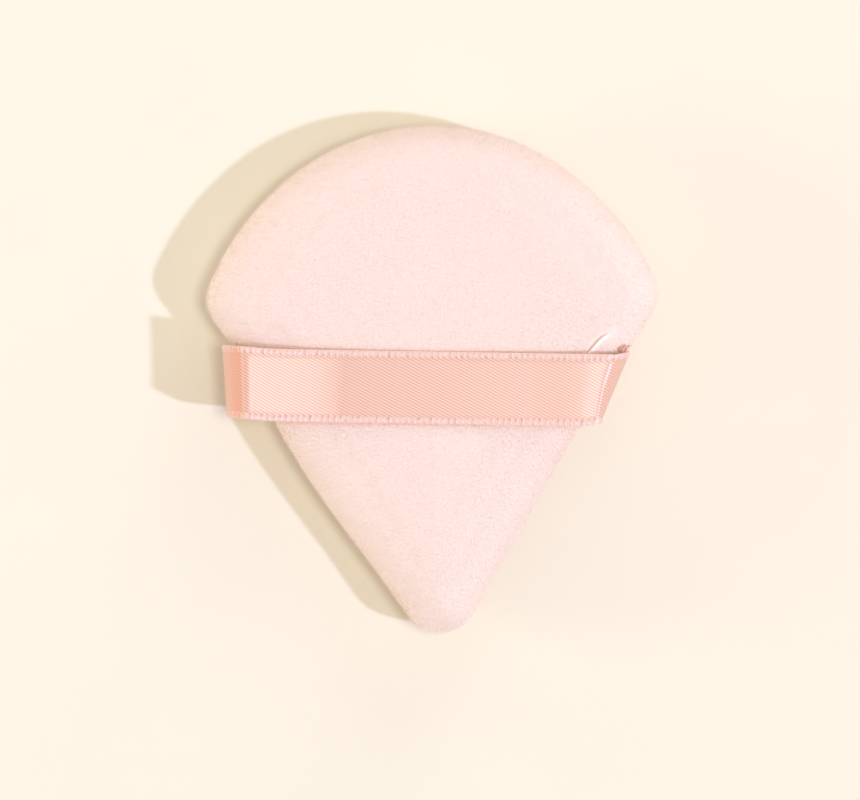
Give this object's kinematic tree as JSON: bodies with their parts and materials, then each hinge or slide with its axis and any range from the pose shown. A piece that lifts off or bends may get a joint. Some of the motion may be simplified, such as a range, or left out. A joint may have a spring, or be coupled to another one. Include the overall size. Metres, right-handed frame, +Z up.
{
  "type": "powder puff",
  "caption": "Fan-shaped velour powder puff with rounded corners and a blunt tip, foam filled, with a satin ribbon sewn across its front as a finger strap.",
  "frame": {"origin": "on the resting face, under the middle of the puff's length and width", "axes": "+Z up out of the ribbon side, +Y from the pointed tip to the rounded top, +X along the ribbon to the right"},
  "size_m": [0.0634, 0.072, 0.0142],
  "materials": {
    "front_velour": "short cut-pile velour, pale pink",
    "back_velour": "short cut-pile velour, pale pink",
    "foam": "soft open-cell foam, off-white",
    "satin_ribbon": "single-faced satin ribbon with woven edges, peach",
    "thread": "spun polyester sewing thread"
  },
  "bodies": {
    "pad": {"front_panel": "front_velour", "back_panel": "back_velour", "foam_core": "foam", "needle_thread": "thread", "bobbin_thread": "thread", "left_tack": "thread", "right_tack": "thread", "closing_stitch": "thread", "ribbon_left_end": "satin_ribbon", "ribbon_right_end": "satin_ribbon"},
    "strap": {"ribbon_span": "satin_ribbon"}
  },
  "joints": [
    {"name": "strap_lift", "type": "slide", "parent": "pad", "child": "strap", "axis": [0, 0, 1], "range_m": [0, 0.01], "deforming": ["ribbon_left_end", "ribbon_right_end"]}
  ]
}
